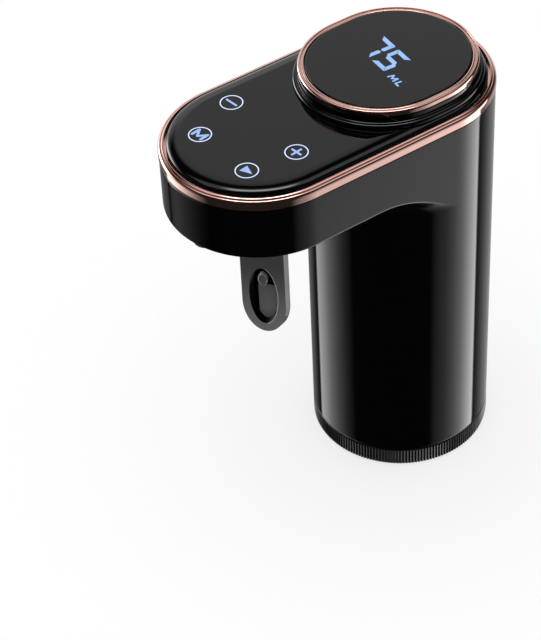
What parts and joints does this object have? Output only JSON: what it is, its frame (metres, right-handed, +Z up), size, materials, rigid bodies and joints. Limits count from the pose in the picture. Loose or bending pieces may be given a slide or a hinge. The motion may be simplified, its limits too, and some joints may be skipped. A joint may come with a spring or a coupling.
{
  "type": "electric wine aerator",
  "caption": "Electric wine aerator that stands on a bottle neck: round tower, overhanging slot-shaped head with touch panel and raised display, push paddle and spout.",
  "frame": {"origin": "centre of the bottle socket's mouth, on the tower axis at the base", "axes": "+Z up along the tower, -Y towards the spout, +X to the right of a user who stands before the spout and reads the display"},
  "size_m": [0.0442, 0.0831, 0.1104],
  "materials": {
    "black_gloss": "polished black",
    "rose_gold": "polished rose gold plate",
    "panel_gloss": "polished dark grey",
    "lens_dark": "polished dark lens",
    "black_matte": "satin black",
    "smoked_plastic": "smoked, smooth",
    "black_rubber": "soft black",
    "white_rubber": "soft silicone",
    "red_rubber": "soft silicone",
    "white_plastic": "moulded",
    "grey_plastic": "moulded",
    "black_plastic": "moulded",
    "red_plastic": "moulded",
    "board_green": "circuit board with solder mask",
    "brass_pins": "plated",
    "steel": "plain",
    "cell_blue": "shrink-wrapped can",
    "lead_red": "insulated lead"
  },
  "bodies": {
    "housing": {"tower_shell": "black_gloss", "head_shell": "black_gloss", "display_base": "black_gloss", "head_trim_ring": "rose_gold", "display_trim_ring": "rose_gold", "touch_panel": "panel_gloss", "display_lens": "lens_dark", "neck_socket": "black_matte", "spout_nozzle": "black_matte", "spout_nut": "black_matte", "panel_gasket": "black_rubber", "pump_gasket": "black_rubber", "shaft_seal": "black_rubber", "inlet_seal": "black_rubber", "spout_seal": "black_rubber", "touch_pads": "black_rubber", "neck_gasket": "white_rubber", "outlet_tube": "white_rubber", "vent_valve": "red_rubber", "display_module": "white_plastic", "pump_body": "white_plastic", "pump_cover": "white_plastic", "inlet_barb": "white_plastic", "outlet_elbow": "white_plastic", "display_pins": "brass_pins", "control_board": "board_green", "charge_board": "board_green", "inner_chassis": "grey_plastic", "motor_clamp": "grey_plastic", "board_screws": "steel", "chassis_screws": "steel", "pump_screws": "steel", "idler_pin": "steel", "pump_motor": "steel", "paddle_pin": "steel", "paddle_spring": "steel", "usb_socket": "steel", "aerator_insert": "steel", "battery_contacts": "steel", "battery_cell": "cell_blue", "power_leads": "lead_red", "micro_switch": "black_plastic"},
    "paddle": {"dispense_paddle": "smoked_plastic"},
    "plunger": {"switch_plunger": "red_plastic"},
    "grip": {"grip_ring": "black_matte"},
    "pump_drive": {"drive_gear": "white_plastic", "drive_shaft": "steel"},
    "pump_idler": {"idler_gear": "white_plastic"}
  },
  "joints": [
    {"name": "paddle_hinge", "type": "hinge", "parent": "housing", "child": "paddle", "pos_m": [0, -0.0393, 0.09285], "axis": [0.8192, 0.5736, 0], "range_deg": [0, 8], "stiffness_Nm_per_rad": 0.02},
    {"name": "switch_press", "type": "slide", "parent": "housing", "child": "plunger", "axis": [0, 0, 1], "range_m": [0, 0.00095]},
    {"name": "grip_turn", "type": "hinge", "parent": "housing", "child": "grip", "pos_m": [0, 0, 0], "axis": [0, 0, 1], "range_deg": [0, 60]},
    {"name": "pump_drive_spin", "type": "hinge", "parent": "housing", "child": "pump_drive", "pos_m": [0.00456, 0.0045, 0.0318], "axis": [0, 0, 1], "continuous": true},
    {"name": "pump_idler_spin", "type": "hinge", "parent": "housing", "child": "pump_idler", "pos_m": [0.00456, -0.0045, 0.0318], "axis": [0, 0, 1], "continuous": true}
  ],
  "couplings": [
    {"joint": "switch_press", "follows": "paddle_hinge", "m_per_rad": 0.0065},
    {"joint": "pump_idler_spin", "follows": "pump_drive_spin", "ratio": -1}
  ]
}
